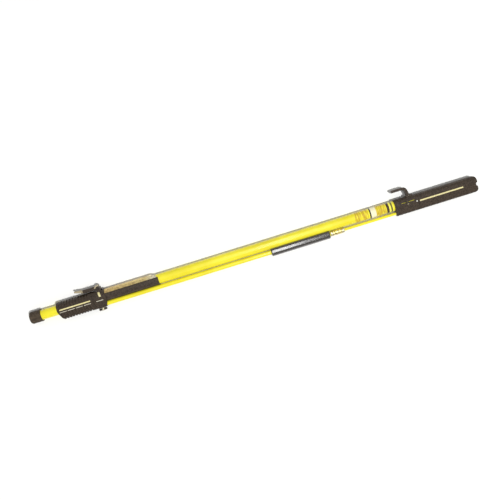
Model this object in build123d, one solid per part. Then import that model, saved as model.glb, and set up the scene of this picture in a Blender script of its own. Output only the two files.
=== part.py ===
from build123d import *
from math import asin, cos, degrees, radians, sin, sqrt
import os

# Roller extension pole, closed. Millimetres. The pole runs along +X from the butt cap
# to the tool head. +Y is the hook side and the guide rail lies on the -Y side.
# The X axis is the axis of the two telescoping pole tubes.

# Overall sizes
POLE_LENGTH = 1200.0
TUBE_R = 12.9
RAIL_R = 5.7
RAIL_SPACE = 2.0

# Fits
FREE = 0.4
RUNNING = 0.08
SEAM = 0.6

# Pole tubes
TUBE_WALL = 1.3
TUBE_SLACK = 1.0
INNER_WALL = 1.2
EXTENSION = 430.0
TUBE_OVERLAP = 45.0
TUBE_START = 4.0
BUSH_LENGTH = 30.0
LABEL_LENGTH = 104.0
LABEL_THICK = 0.3
LABEL_GAP = 4.0

# Butt cap
CAP_LENGTH = 31.0
CAP_WALL = 3.0
CAP_ROUND = 5.0
CAP_LIP_ROUND = 1.0

# Handle
CAP_TO_HANDLE = 3.5
HANDLE_LENGTH = 95.5
HANDLE_WALL = 6.3
HANDLE_LOBE = 1.7
HANDLE_HOLLOW = 1.6
HANDLE_BEARING = 10.0
HANDLE_BACKWARD = 40.0
HANDLE_FORWARD = 120.0
HANDLE_ROUND = 1.5
RIB_PITCH = 7.6
RIB_GAP = 3.6
RIB_DEPTH = 2.0
RIB_MARGIN = 8.0
SLOT_WIDTH = 3.4
SLOT_DROP = 2.4
SLOT_MARGIN = 7.0
SLOT_END_MARGIN = 6.0
STRIP_WIDTH = 1.4
STRIP_DROP = 8.8
STRIP_PROUD = 0.3
STRIP_DEPTH = 1.0
STRIP_START = 6.0
STRIP_PITCH = 21.5
STRIP_LENGTH = 18.5
UNDERCUT = 8.0
UNDERCUT_Y = -5.0
KEY_SUNK = 0.5
KEY_SEAT = 0.6
HANDLE_SCREW_NEAR = 22.0
HANDLE_SCREW_FAR = 16.0
HANDLE_SCREW_EDGE = 2.4
HANDLE_SCREW_LENGTH = 11.0
HANDLE_SCREW_SUNK = 0.8

# Clamp
CLAMP_LENGTH = 33.0
CLAMP_WALL = 5.5
CLAMP_LOBE = 1.6
TONGUE_WALL = 1.7
TONGUE_SLIT = 0.8
CAM_R = 6.0
CAM_THROW = 0.5
CAM_FROM_START = 19.4
CAM_HALF_WIDTH = 9.0
EAR_THICK = 3.6
EAR_R = 5.0
EAR_FOOT = 8.0
EAR_FOOT_Y = 8.0
LEVER_PIN_R = 2.2
PIN_CAP_STEP = 1.2
PIN_CAP_H = 1.0
TONGUE_EDGE = 2.5
TONGUE_HALF_LENGTH = 9.0
ROOM_MARGIN = 1.0
HUB_R = 6.0
HUB_CAP = 4.2
HUB_FROM = 74.0
HUB_TO = 165.0
LEVER_REACH = 61.3
LEVER_TOP = 7.6
TAB_LENGTH = 21.5
TAB_HALF_WIDTH = 11.0
TAB_THICK = 4.4
TAB_LIFT = 9.0
WINDOW_WIDTH = 5.6
WINDOW_TOP = 13.0
WINDOW_LOW = 0.6
WINDOW_SLANT = 1.0
WINDOW_FLOOR = 10.4
FLARE = 6.0
ARM_RISE = 0.4
TAB_ROOT_LIFT = 3.0
TAB_ROUND = 1.8
TONGUE_CORE_START = 6.0
TONGUE_CORE_THICK = 2.2
TONGUE_CORE_HALF = 6.0

# Thumbscrew that holds the rail in the clamp
THUMB_FROM_START = 15.6
THUMB_HUB_R = 4.2
THUMB_HUB_HEIGHT = 6.8
THUMB_BAR_LENGTH = 22.0
THUMB_BAR_R = 2.8
THUMB_BOSS_R = 6.3
THUMB_BOSS_DROP = 0.5
THUMB_STUD_R = 2.5
THUMB_EDGE = 1.0
THUMB_INSERT_R = 4.4

# Guide sleeve and its saddle plate
SLEEVE_LENGTH = 142.1
SLEEVE_WALL = 2.5
SADDLE_THICK = 1.0
SLEEVE_SPIGOT = 3.0
SLEEVE_SPIGOT_STEP = 1.2
SADDLE_LOW_EDGE = 5.8
SADDLE_TAPER = 20.0
SADDLE_NOSE_Y = 11.0
SADDLE_NOSE_BACK = 4.7
SADDLE_EDGE_BACK = 2.7
RIVET_R = 1.3
RIVET_HEAD_R = 2.4
RIVET_HEAD_H = 0.8
RIVET_COLUMNS = 3
RIVET_ANGLE = 36.0
RIVET_SHANK = 1.6
RIVET_MARGIN = 18.0

# Guide rail and rod
RAIL_WALL = 0.9
ROD_R = 3.5
ROD_REST = 20.0
GRIP_LENGTH = 158.0
GRIP_R = 11.3
GRIP_ROUND = 3.0
GRIP_TO_COUPLING = 2.0
COUPLING_LENGTH = 37.0
COUPLING_WALL = 0.6
COUPLING_NUT_WALL = 0.6
COUPLING_CAP = 6.0
RAIL_IN_COUPLING = 14.0
COUPLING_STOP = 19.4
COUPLING_RING_STEP = 0.5
COUPLING_CHAMFER = 0.4
RAIL_IN_CLAMP = 4.0

# Hook collar and hook
COLLAR_LENGTH = 62.4
COLLAR_WALL = 2.1
COLLAR_LOBE = 1.9
COLLAR_SLIT = 1.2
COLLAR_FOOT = 6.7
COLLAR_ROUND = 1.0
FOOT_HALF_WIDTH = 9.0
FOOT_FRONT_MARGIN = 4.0
FOOT_BACK_MARGIN = 9.0
COLLAR_SLIT_Y = -0.8
COLLAR_SLIT_FRONT = 17.6
COLLAR_SLIT_BACK = 9.4
BOSS_BEFORE_HOOK = 9.0
BOSS_HALF_LENGTH = 5.0
BOSS_LOW = -5.0
BOSS_HIGH = 4.5
BOSS_HEIGHT = 5.4
BOSS_SCREW_HEIGHT = 2.7
COLLAR_RIVET_DROP = 5.3
COLLAR_RIVET_BACK = 4.2
COLLAR_RIVET_HEAD_R = 1.7
TUBE_TO_COLLAR_END = 3.0
HOOK_FROM_START = 43.2
HOOK_TIP_FROM_START = 2.9
HOOK_PRONG_THICK = 6.5
HOOK_GAP = 17.5
HOOK_STEM_WIDTH = 7.6
HOOK_LEAN = 4.5
HOOK_BEND = 12.0
HOOK_THROAT = 5.0
HOOK_HALF_THICK = 6.0
HOOK_PAD_HEIGHT = 1.2
HOOK_FOOT_WALL = 0.9
HOOK_PIN_R = 1.0
HOOK_PAD_HALF = 9.0
PAD_CORNER = 3.0
ROD_BUSH_WALL = 1.5

# Head
HEAD_LENGTH = 158.0
HEAD_SLIT = 3.6
HEAD_SLIT_DROP = 6.4
HEAD_SLIT_LENGTH = 116.0
HEAD_ROUND = 4.0
HEAD_TOP_CORNER = 14.0
HEAD_LOW_CORNER = 10.0
HEAD_NOTCH_R = 5.2
HEAD_NOTCH_Y = -9.1
HEAD_SLIT_MARGIN = 3.0
HEAD_EDGE = 0.8
HEAD_SCREW_FIRST = 26.0
HEAD_SCREW_PITCH = 40.0
HEAD_SCREW_SUNK = 0.5
HEAD_FACE = 6.0
SOCKET_R = 8.0
SOCKET_DEPTH = 36.0
INNER_BUSH_LENGTH = 8.0
INNER_BUSH_SPIGOT = 18.0
INNER_BUSH_HOLE = 5.0
ROD_PIN_R = 1.25
ROD_PIN_FROM_START = 96.0
ROD_PIN_SUNK = 0.6
ROD_PIN_TOP = 2.4
ROD_TIP_LENGTH = 6.0
ROD_TIP_PEG = 10.0
ROD_TIP_PEG_R = 1.6

# Screws
SCREW_R = 1.3
SCREW_HEAD_R = 2.6
SCREW_HEAD_H = 1.8

# Positions worked out from the sizes above
RAIL_Y = -(TUBE_R + RAIL_SPACE + RAIL_R)
TUBE_BORE_R = TUBE_R - TUBE_WALL
INNER_R = TUBE_BORE_R - TUBE_SLACK
INNER_BORE_R = INNER_R - INNER_WALL
HEAD_START = POLE_LENGTH - HEAD_LENGTH
COLLAR_END = HEAD_START - SEAM
COLLAR_START = COLLAR_END - COLLAR_LENGTH
TUBE_END = COLLAR_END - TUBE_TO_COLLAR_END
BUSH_START = TUBE_END - BUSH_LENGTH
INNER_START = BUSH_START - EXTENSION - TUBE_OVERLAP
HANDLE_START = CAP_LENGTH + HANDLE_BACKWARD + CAP_TO_HANDLE
HANDLE_END = HANDLE_START + HANDLE_LENGTH
CLAMP_START = HANDLE_END + SEAM
CLAMP_END = CLAMP_START + CLAMP_LENGTH
SLEEVE_END = CLAMP_END + SLEEVE_LENGTH
COUPLING_END = COLLAR_START - HANDLE_FORWARD - COUPLING_STOP
COUPLING_START = COUPLING_END - COUPLING_LENGTH
COUPLING_BODY_R = RAIL_R + COUPLING_WALL
COUPLING_NUT_R = COUPLING_BODY_R + COUPLING_NUT_WALL
GRIP_END = COUPLING_START - GRIP_TO_COUPLING
GRIP_START = GRIP_END - GRIP_LENGTH
HANDLE_R = TUBE_R + HANDLE_WALL
CLAMP_R = TUBE_R + CLAMP_WALL
SLEEVE_R = TUBE_R + SLEEVE_WALL
HEAD_R = TUBE_R + COLLAR_WALL
LOBE_R = RAIL_R + COLLAR_LOBE
CAM_X = CLAMP_START + CAM_FROM_START
TONGUE_R = TUBE_R + FREE + TONGUE_WALL
CAM_Y = TONGUE_R + FREE + CAM_THROW + CAM_R
RAIL_START = CLAMP_START + RAIL_IN_CLAMP
ROD_START = RAIL_START + HANDLE_FORWARD + ROD_REST
THUMB_X = CLAMP_START + THUMB_FROM_START
THUMB_BOSS_Y = RAIL_Y - RAIL_R - CLAMP_LOBE - THUMB_BOSS_DROP
THUMB_TOP = THUMB_BOSS_Y - FREE
SADDLE_R = SLEEVE_R + SADDLE_THICK
HOOK_X = COLLAR_START + HOOK_FROM_START
HOOK_FOOT_Y = TUBE_R + HOOK_FOOT_WALL
HOOK_PAD_Y = HEAD_R + HOOK_PAD_HEIGHT
HOOK_PIN_Y = (HOOK_FOOT_Y + HOOK_PAD_Y) / 2
FAR = 60.0


def bar(radius, x0, x1, y=0.0):
    """Round bar along X."""
    return Pos(x0, y, 0) * extrude(Plane.YZ * Circle(radius), x1 - x0)


def pipe(outer, inner, x0, x1, y=0.0):
    """Round tube along X."""
    return bar(outer, x0, x1, y) - bar(inner, x0 - 1, x1 + 1, y)


def peg_y(radius, x, y0, y1, z=0.0):
    """Round bar along Y, from y0 up to y1."""
    return Pos(x, (y0 + y1) / 2, z) * Rot(90, 0, 0) * Cylinder(radius, y1 - y0)


def peg_z(radius, x, y, z0, z1):
    """Round bar along Z, from z0 up to z1."""
    return Pos(x, y, (z0 + z1) / 2) * Cylinder(radius, z1 - z0)


def block(x0, x1, y0, y1, z0, z1):
    """Box between two corners."""
    return Pos((x0 + x1) / 2, (y0 + y1) / 2, (z0 + z1) / 2) * Box(x1 - x0, y1 - y0, z1 - z0)


def plate(points, z0, z1):
    """Prism of a closed XY outline, from z0 up to z1."""
    outline = make_face(Polyline(*points, close=True))
    return Pos(0, 0, z0) * extrude(outline, z1 - z0)


def casing(pole_r, rail_r, x0, x1):
    """Solid that wraps the pole axis and the rail axis in one smooth outline."""
    rings = Circle(pole_r) + Pos(RAIL_Y, 0) * Circle(rail_r)
    return Pos(x0, 0, 0) * extrude(Plane.YZ * make_hull(rings.edges()), x1 - x0)


def surface_z(radius, y):
    """Height of a round surface about the pole axis at a given y."""
    return sqrt(radius * radius - y * y)


def radial(radius, r0, r1, x, angle):
    """Round peg pointing out from the pole axis; the angle rises from +Z towards +Y."""
    peg = Pos(0, 0, (r0 + r1) / 2) * Cylinder(radius, r1 - r0)
    return Pos(x, 0, 0) * Rot(-angle, 0, 0) * peg


def screw_z(x, y, face_z, length):
    """Countersunk screw driven towards +Z, its head flush with face_z."""
    head = Pos(x, y, face_z + SCREW_HEAD_H / 2) * Cone(SCREW_HEAD_R, SCREW_R, SCREW_HEAD_H)
    return head + peg_z(SCREW_R, x, y, face_z, face_z + length)


# ---- pole shaft -------------------------------------------------------------------


def collar_rivet_pegs(r0, r1, radius):
    drop = degrees(asin(COLLAR_RIVET_DROP / HEAD_R))
    x = COLLAR_END - COLLAR_RIVET_BACK
    return [radial(radius, r0, r1, x, -drop), radial(radius, r0, r1, x, 180 + drop)]


def outer_tube():
    tube = pipe(TUBE_R, TUBE_BORE_R, TUBE_START, TUBE_END)
    for peg in collar_rivet_pegs(INNER_R, HEAD_R, RIVET_R):
        tube -= peg
    return tube


def butt_cap():
    outer = bar(TUBE_R + CAP_WALL, 0, CAP_LENGTH)
    outer = fillet(outer.edges().group_by(Axis.X)[0], CAP_ROUND)
    outer = fillet(outer.edges().group_by(Axis.X)[-1], CAP_LIP_ROUND)
    return outer - bar(TUBE_R, TUBE_START, CAP_LENGTH + 1)


def front_bush():
    sleeve = pipe(TUBE_BORE_R, INNER_R + RUNNING, BUSH_START, TUBE_END)
    lip = pipe(TUBE_R, INNER_R + RUNNING, TUBE_END, COLLAR_END - SEAM)
    bush = sleeve + lip
    for peg in collar_rivet_pegs(INNER_R, HEAD_R, RIVET_R):
        bush -= peg
    return bush


def hook_outline():
    """Corners of the hook: the prong's tip, its top, the foot and the throat."""
    prong_low = HEAD_R + HOOK_GAP
    prong_top = prong_low + HOOK_PRONG_THICK
    tip = COLLAR_START + HOOK_TIP_FROM_START
    foot_right = HOOK_X + HOOK_STEM_WIDTH / 2
    foot_left = HOOK_X - HOOK_STEM_WIDTH / 2
    return [
        (tip, prong_low),
        (tip, prong_top),
        (foot_right - HOOK_LEAN, prong_top),
        (foot_right, HOOK_FOOT_Y),
        (foot_left, HOOK_FOOT_Y),
        (foot_left - HOOK_LEAN, prong_low),
    ]


def hook_pin_hole():
    return peg_z(HOOK_PIN_R, HOOK_X, HOOK_PIN_Y, -FAR, FAR)


def collar_screw_boss():
    x = HOOK_X - BOSS_BEFORE_HOOK
    return block(x - BOSS_HALF_LENGTH, x + BOSS_HALF_LENGTH, BOSS_LOW, BOSS_HIGH,
                 TUBE_BORE_R, TUBE_R + BOSS_HEIGHT)


def collar_screw():
    x = HOOK_X - BOSS_BEFORE_HOOK
    z = TUBE_R + BOSS_SCREW_HEIGHT
    shank = peg_y(SCREW_R, x, BOSS_LOW, BOSS_HIGH - 1, z)
    return shank + peg_y(SCREW_HEAD_R, x, BOSS_LOW - SCREW_HEAD_H, BOSS_LOW, z)


def hook_collar():
    body = casing(HEAD_R, LOBE_R, COLLAR_START, COLLAR_END)
    body = fillet(body.edges().group_by(Axis.X)[0], COLLAR_ROUND)
    pad = block(HOOK_X - HOOK_PAD_HALF, HOOK_X + HOOK_PAD_HALF, 0, HOOK_PAD_Y,
                -HOOK_PAD_HALF, HOOK_PAD_HALF)
    body += fillet(pad.edges().filter_by(Axis.Y), PAD_CORNER)
    foot = block(COLLAR_START + FOOT_FRONT_MARGIN, COLLAR_END - FOOT_BACK_MARGIN,
                 -FOOT_HALF_WIDTH, FOOT_HALF_WIDTH, -TUBE_R - COLLAR_FOOT, 0)
    body += fillet(foot.edges().filter_by(Axis.Z), PAD_CORNER)
    boss = collar_screw_boss()
    body += fillet(boss.edges().group_by(Axis.Z)[-1], COLLAR_ROUND)
    body -= bar(TUBE_R, COLLAR_START - 1, COLLAR_END + 1)
    body -= bar(ROD_R + ROD_BUSH_WALL, COLLAR_START - 1, COLLAR_END + 1, RAIL_Y)
    body -= block(COLLAR_START + COLLAR_SLIT_FRONT, COLLAR_END - COLLAR_SLIT_BACK,
                  COLLAR_SLIT_Y - COLLAR_SLIT / 2, COLLAR_SLIT_Y + COLLAR_SLIT / 2, 0, FAR)
    body -= collar_screw()
    body -= plate(hook_outline(), -HOOK_HALF_THICK, HOOK_HALF_THICK)
    body -= hook_pin_hole()
    for peg in collar_rivet_pegs(INNER_R, HEAD_R + 1, RIVET_R):
        body -= peg
    return body


def hanging_hook():
    points = hook_outline()
    hook = plate(points, -HOOK_HALF_THICK, HOOK_HALF_THICK)
    tip_round = 0.45 * HOOK_PRONG_THICK
    rounds = [(points[0], tip_round), (points[1], tip_round),
              (points[2], HOOK_BEND), (points[5], HOOK_THROAT)]
    for (x, y), radius in rounds:
        near = hook.edges().filter_by(Axis.Z).sort_by_distance(Vector(x, y, 0))[0]
        hook = fillet(near, radius)
    return hook - hook_pin_hole()


def hook_pin():
    return peg_z(HOOK_PIN_R, HOOK_X, HOOK_PIN_Y, -HOOK_PAD_HALF, HOOK_PAD_HALF)


def collar_rivets():
    shanks = collar_rivet_pegs(TUBE_BORE_R - RIVET_HEAD_H, HEAD_R, RIVET_R)
    heads = collar_rivet_pegs(HEAD_R, HEAD_R + RIVET_HEAD_H, COLLAR_RIVET_HEAD_R)
    return Compound([shank + head for shank, head in zip(shanks, heads)])


def rod_bush():
    return pipe(ROD_R + ROD_BUSH_WALL, ROD_R + RUNNING, COLLAR_START, COLLAR_END, RAIL_Y)


def label_sleeve():
    end = COLLAR_START - LABEL_GAP
    return pipe(TUBE_R + LABEL_THICK, TUBE_R, end - LABEL_LENGTH, end)


# ---- sliding head -----------------------------------------------------------------


def head_screw_list():
    first = HEAD_START + HEAD_SCREW_FIRST
    return [first, first + HEAD_SCREW_PITCH]


def head_screw(x):
    face = -HEAD_R + HEAD_SCREW_SUNK
    return peg_z(SCREW_R, x, 0, face, -INNER_BORE_R) + peg_z(SCREW_HEAD_R, x, 0, face, face + SCREW_HEAD_H)


def inner_tube():
    tube = pipe(INNER_R, INNER_BORE_R, INNER_START, POLE_LENGTH - SOCKET_DEPTH)
    for x in head_screw_list():
        tube -= head_screw(x)
    return tube


def inner_bush():
    ring = bar(TUBE_BORE_R - RUNNING, INNER_START - INNER_BUSH_LENGTH, INNER_START)
    ring = chamfer(ring.edges().group_by(Axis.X)[0], COUPLING_CHAMFER)
    spigot_end = INNER_START + INNER_BUSH_SPIGOT
    spigot = bar(INNER_BORE_R, INNER_START, spigot_end)
    return ring + spigot - bar(INNER_BUSH_HOLE, INNER_START - INNER_BUSH_LENGTH - 1, spigot_end + 1)


def rod_pin():
    return peg_z(ROD_PIN_R, HEAD_START + ROD_PIN_FROM_START, RAIL_Y, -LOBE_R + ROD_PIN_SUNK, ROD_PIN_TOP)


def head_outline():
    """Block whose far corners are rounded as the head is when seen along Z."""
    sides = block(HEAD_START - 1, POLE_LENGTH, RAIL_Y - LOBE_R, HEAD_R, -FAR, FAR)
    for y, radius in ((HEAD_R, HEAD_TOP_CORNER), (RAIL_Y - LOBE_R, HEAD_LOW_CORNER)):
        corner = sides.edges().filter_by(Axis.Z).sort_by_distance(Vector(POLE_LENGTH, y, 0))[0]
        sides = fillet(corner, radius)
    return sides


def head_notch():
    """Half-round notch across the far end, between the pole lobe and the rail lobe."""
    return peg_z(HEAD_NOTCH_R, POLE_LENGTH, HEAD_NOTCH_Y, -FAR, FAR)


def head_slit(floor_z, top_z):
    start = HEAD_START + HEAD_SLIT_MARGIN
    return block(start, start + HEAD_SLIT_LENGTH, -HEAD_SLIT_DROP - HEAD_SLIT / 2,
                 -HEAD_SLIT_DROP + HEAD_SLIT / 2, floor_z, top_z)


def head_key():
    """Bar on the inner tube that fills the head's slit."""
    top = surface_z(HEAD_R, HEAD_SLIT_DROP) - KEY_SUNK
    return head_slit(0, top) - bar(INNER_R, HEAD_START - 1, POLE_LENGTH)


def head_shell():
    body = casing(HEAD_R, LOBE_R, HEAD_START, POLE_LENGTH)
    body = fillet(body.edges().group_by(Axis.X)[-1], HEAD_ROUND)
    body = fillet(body.edges().group_by(Axis.X)[0], HEAD_EDGE)
    body &= head_outline()
    body -= bar(INNER_R, HEAD_START - 1, POLE_LENGTH - HEAD_FACE)
    body -= bar(SOCKET_R, HEAD_START, POLE_LENGTH + 1)
    body -= bar(ROD_R, HEAD_START - 1, POLE_LENGTH - HEAD_FACE, RAIL_Y)
    body -= head_slit(0, FAR)
    body -= head_notch()
    for x in head_screw_list():
        body -= head_screw(x)
        body -= peg_z(SCREW_HEAD_R, x, 0, -HEAD_R - 1, -HEAD_R + 1)
    return body - rod_pin()


def socket_liner():
    return pipe(INNER_R, SOCKET_R, POLE_LENGTH - SOCKET_DEPTH, POLE_LENGTH - HEAD_FACE)


def guide_rod():
    rod = bar(ROD_R, ROD_START, POLE_LENGTH - HEAD_FACE, RAIL_Y)
    rod -= bar(ROD_TIP_PEG_R, ROD_START - 1, ROD_START + ROD_TIP_PEG, RAIL_Y)
    return rod - rod_pin()


def rod_tip():
    tip = bar(RAIL_R - RAIL_WALL - RUNNING, ROD_START - ROD_TIP_LENGTH, ROD_START, RAIL_Y)
    tip = chamfer(tip.edges().group_by(Axis.X)[0], COUPLING_CHAMFER)
    return tip + bar(ROD_TIP_PEG_R, ROD_START, ROD_START + ROD_TIP_PEG, RAIL_Y)


def head_screws():
    return Compound([head_screw(x) for x in head_screw_list()])


# ---- sliding handle ---------------------------------------------------------------


def handle_screw_list():
    """Place of each screw head's face: two along the top edge and two along the rail lobe."""
    top = HANDLE_R - HANDLE_SCREW_EDGE
    faces = [(top, HANDLE_SCREW_SUNK - surface_z(HANDLE_R, top)),
             (RAIL_Y, HANDLE_SCREW_SUNK - RAIL_R - HANDLE_LOBE)]
    columns = [HANDLE_START + HANDLE_SCREW_NEAR, HANDLE_END - HANDLE_SCREW_FAR]
    return [(x, y, z) for x in columns for y, z in faces]


def strip_segments():
    first = HANDLE_START + STRIP_START
    count = int((HANDLE_LENGTH - STRIP_START) / STRIP_PITCH)
    starts = [first + STRIP_PITCH * k for k in range(count)]
    pieces = [(x, x + STRIP_LENGTH, HANDLE_R) for x in starts]
    clamp_start = CLAMP_START + (CLAMP_LENGTH - STRIP_LENGTH) / 2
    return pieces + [(clamp_start, clamp_start + STRIP_LENGTH, CLAMP_R)]


def strip(segment, top=0.0):
    x0, x1, radius = segment
    z = surface_z(radius, STRIP_DROP)
    return block(x0, x1, -STRIP_DROP - STRIP_WIDTH / 2, -STRIP_DROP + STRIP_WIDTH / 2,
                 z - STRIP_DEPTH, z + STRIP_PROUD + top)


def handle_slot(floor_z, top_z):
    return block(HANDLE_START + SLOT_MARGIN, HANDLE_END - SLOT_END_MARGIN,
                 -SLOT_DROP - SLOT_WIDTH / 2, -SLOT_DROP + SLOT_WIDTH / 2, floor_z, top_z)


def handle_body():
    lobe = RAIL_R + HANDLE_LOBE
    body = casing(HANDLE_R, lobe, HANDLE_START, HANDLE_END)
    body = fillet(body.edges().group_by(Axis.X)[0], HANDLE_ROUND)
    ribs = int((HANDLE_LENGTH - 2 * RIB_MARGIN) / RIB_PITCH)
    for k in range(ribs + 1):
        x = HANDLE_START + RIB_MARGIN + k * RIB_PITCH - RIB_GAP / 2
        ring = casing(HANDLE_R + 1, lobe + 1, x, x + RIB_GAP)
        ring -= casing(HANDLE_R - RIB_DEPTH, lobe - RIB_DEPTH, x - 1, x + RIB_GAP + 1)
        body -= ring
    body -= bar(TUBE_R + FREE, HANDLE_START - 1, HANDLE_END + 1)
    body -= bar(TUBE_R + HANDLE_HOLLOW, HANDLE_START + HANDLE_BEARING, HANDLE_END - HANDLE_BEARING)
    cut_low = RAIL_Y - lobe - 1
    body -= plate([(HANDLE_START - 1, UNDERCUT_Y), (HANDLE_START, UNDERCUT_Y),
                   (HANDLE_START + UNDERCUT, cut_low), (HANDLE_START - 1, cut_low)], -FAR, FAR)
    body -= handle_slot(0, FAR)
    for segment in strip_segments()[:-1]:
        body -= strip(segment, 2.0)
    for x, y, z in handle_screw_list():
        body -= screw_z(x, y, z, HANDLE_SCREW_LENGTH)
        body -= peg_z(SCREW_HEAD_R, x, y, -FAR, z)
    return body


def handle_key():
    """Pale bar that fills the handle's slot."""
    top = surface_z(HANDLE_R, SLOT_DROP) - KEY_SUNK
    return handle_slot(0, top) - bar(TUBE_R + HANDLE_HOLLOW + KEY_SEAT, HANDLE_START, HANDLE_END)


def handle_front(body):
    return body & block(HANDLE_START - 5, HANDLE_END + 5, -FAR, FAR, 0, FAR)


def handle_back(body):
    return body & block(HANDLE_START - 5, HANDLE_END + 5, -FAR, FAR, -FAR, 0)


def handle_screws():
    return Compound([screw_z(x, y, z, HANDLE_SCREW_LENGTH) for x, y, z in handle_screw_list()])


def index_strips():
    return Compound([strip(segment) for segment in strip_segments()])


def clamp_ears():
    inner = CAM_HALF_WIDTH + FREE
    outer = inner + EAR_THICK
    root = [(CAM_X - EAR_FOOT, EAR_FOOT_Y), (CAM_X - EAR_R, CAM_Y), (CAM_X + EAR_R, CAM_Y),
            (CAM_X + EAR_FOOT, EAR_FOOT_Y)]
    front = plate(root, inner, outer) + peg_z(EAR_R, CAM_X, CAM_Y, inner, outer)
    back = plate(root, -outer, -inner) + peg_z(EAR_R, CAM_X, CAM_Y, -outer, -inner)
    return front + back


def window_points():
    half = WINDOW_WIDTH / 2
    return [(CAM_X - WINDOW_SLANT - half, WINDOW_TOP), (CAM_X - WINDOW_SLANT + half, WINDOW_TOP),
            (CAM_X + WINDOW_SLANT + half, WINDOW_LOW), (CAM_X + WINDOW_SLANT - half, WINDOW_LOW)]


def clamp_pad():
    """Pale wear pad that shows in the clamp's window and bears on the pole tube."""
    pad = plate(window_points(), WINDOW_FLOOR, FAR) & bar(CLAMP_R - KEY_SUNK, CLAMP_START, CLAMP_END)
    return pad - bar(TUBE_R + FREE, CLAMP_START, CLAMP_END)


def clamp_collar():
    body = casing(CLAMP_R, RAIL_R + CLAMP_LOBE, CLAMP_START, CLAMP_END)
    body += clamp_ears()
    body += peg_y(THUMB_BOSS_R, THUMB_X, THUMB_BOSS_Y, RAIL_Y)
    flare = [(CLAMP_END, RAIL_Y + FLARE), (CLAMP_END + 1, RAIL_Y + FLARE),
             (CLAMP_END + 1, RAIL_Y - 2 * FLARE), (CLAMP_END - FLARE, RAIL_Y - 2 * FLARE)]
    body -= plate(flare, -FAR, FAR)
    body -= bar(TUBE_R + FREE, CLAMP_START - 1, CLAMP_END + 1)
    body -= bar(RAIL_R, RAIL_START, CLAMP_END + 1, RAIL_Y)
    body -= bar(SLEEVE_R - SLEEVE_SPIGOT_STEP, CLAMP_END - SLEEVE_SPIGOT, CLAMP_END + 1)
    room_half = CAM_HALF_WIDTH + FREE
    reach = HUB_R + HUB_CAP + ROOM_MARGIN
    room = block(CAM_X - reach, CAM_X + reach, 0, FAR, -room_half, room_half)
    room += block(CLAMP_START - 1, CAM_X, HANDLE_R + SEAM, FAR, -room_half, room_half)
    body -= room - bar(TONGUE_R, CLAMP_START - 1, CLAMP_END + 1)
    edge = CAM_HALF_WIDTH - TONGUE_EDGE
    half = TONGUE_HALF_LENGTH
    for z in (-edge, edge):
        body -= block(CAM_X - half, CAM_X + half, EAR_FOOT_Y, TONGUE_R + 1,
                      z - TONGUE_SLIT / 2, z + TONGUE_SLIT / 2)
    body -= block(CAM_X + half - TONGUE_SLIT, CAM_X + half, EAR_FOOT_Y, TONGUE_R + 1, -edge, edge)
    body -= plate(window_points(), WINDOW_FLOOR, FAR)
    body -= peg_z(LEVER_PIN_R, CAM_X, CAM_Y, -FAR, FAR)
    body -= peg_y(THUMB_INSERT_R, THUMB_X, -FAR, RAIL_Y - RAIL_R)
    return body - strip(strip_segments()[-1], 2.0)


def lever_pin():
    half = CAM_HALF_WIDTH + FREE + EAR_THICK
    cap_r = LEVER_PIN_R + PIN_CAP_STEP
    pin = peg_z(LEVER_PIN_R, CAM_X, CAM_Y, -half, half)
    pin += peg_z(cap_r, CAM_X, CAM_Y, half, half + PIN_CAP_H)
    return pin + peg_z(cap_r, CAM_X, CAM_Y, -half - PIN_CAP_H, -half)


def thumb_insert():
    ring = peg_y(THUMB_INSERT_R, THUMB_X, THUMB_BOSS_Y, RAIL_Y - RAIL_R)
    return ring - peg_y(THUMB_STUD_R + RUNNING, THUMB_X, THUMB_BOSS_Y - 1, RAIL_Y)


def rivet_places():
    step = (SLEEVE_LENGTH - 2 * RIVET_MARGIN) / (RIVET_COLUMNS - 1)
    return [(CLAMP_END + RIVET_MARGIN + k * step, angle) for k in range(RIVET_COLUMNS)
            for angle in (RIVET_ANGLE, 180 - RIVET_ANGLE)]


def rivet(x, angle):
    shank = radial(RIVET_R, SLEEVE_R - RIVET_SHANK, SADDLE_R, x, angle)
    return shank + radial(RIVET_HEAD_R, SADDLE_R, SADDLE_R + RIVET_HEAD_H, x, angle)


def saddle_taper():
    """Cutter that slopes the top of the sleeve and the saddle down to the saddle's low edge."""
    end = SLEEVE_END
    points = [(end - SADDLE_TAPER, SADDLE_R + 1), (end + 1, SADDLE_R + 1), (end + 1, SADDLE_LOW_EDGE),
              (end - SADDLE_EDGE_BACK, SADDLE_LOW_EDGE), (end - SADDLE_NOSE_BACK, SADDLE_NOSE_Y)]
    return plate(points, -FAR, FAR)


def guide_sleeve():
    body = pipe(SLEEVE_R, TUBE_R + FREE, CLAMP_END, SLEEVE_END)
    body += pipe(SLEEVE_R - SLEEVE_SPIGOT_STEP, TUBE_R + FREE, CLAMP_END - SLEEVE_SPIGOT, CLAMP_END)
    body -= saddle_taper()
    for x, angle in rivet_places():
        body -= rivet(x, angle)
    return body - bar(RAIL_R + FREE, CLAMP_START, SLEEVE_END + 1, RAIL_Y)


def saddle_plate():
    sheet = pipe(SADDLE_R, SLEEVE_R, CLAMP_END + FREE, SLEEVE_END)
    sheet &= block(CLAMP_END, SLEEVE_END, SADDLE_LOW_EDGE, FAR, -FAR, FAR)
    sheet -= saddle_taper()
    for x, angle in rivet_places():
        sheet -= rivet(x, angle)
    return sheet


def saddle_rivets():
    return Compound([rivet(x, angle) for x, angle in rivet_places()])


def rail_tube():
    end = COUPLING_START + COUPLING_CAP + RAIL_IN_COUPLING
    return pipe(RAIL_R, RAIL_R - RAIL_WALL, RAIL_START, end, RAIL_Y)


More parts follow.
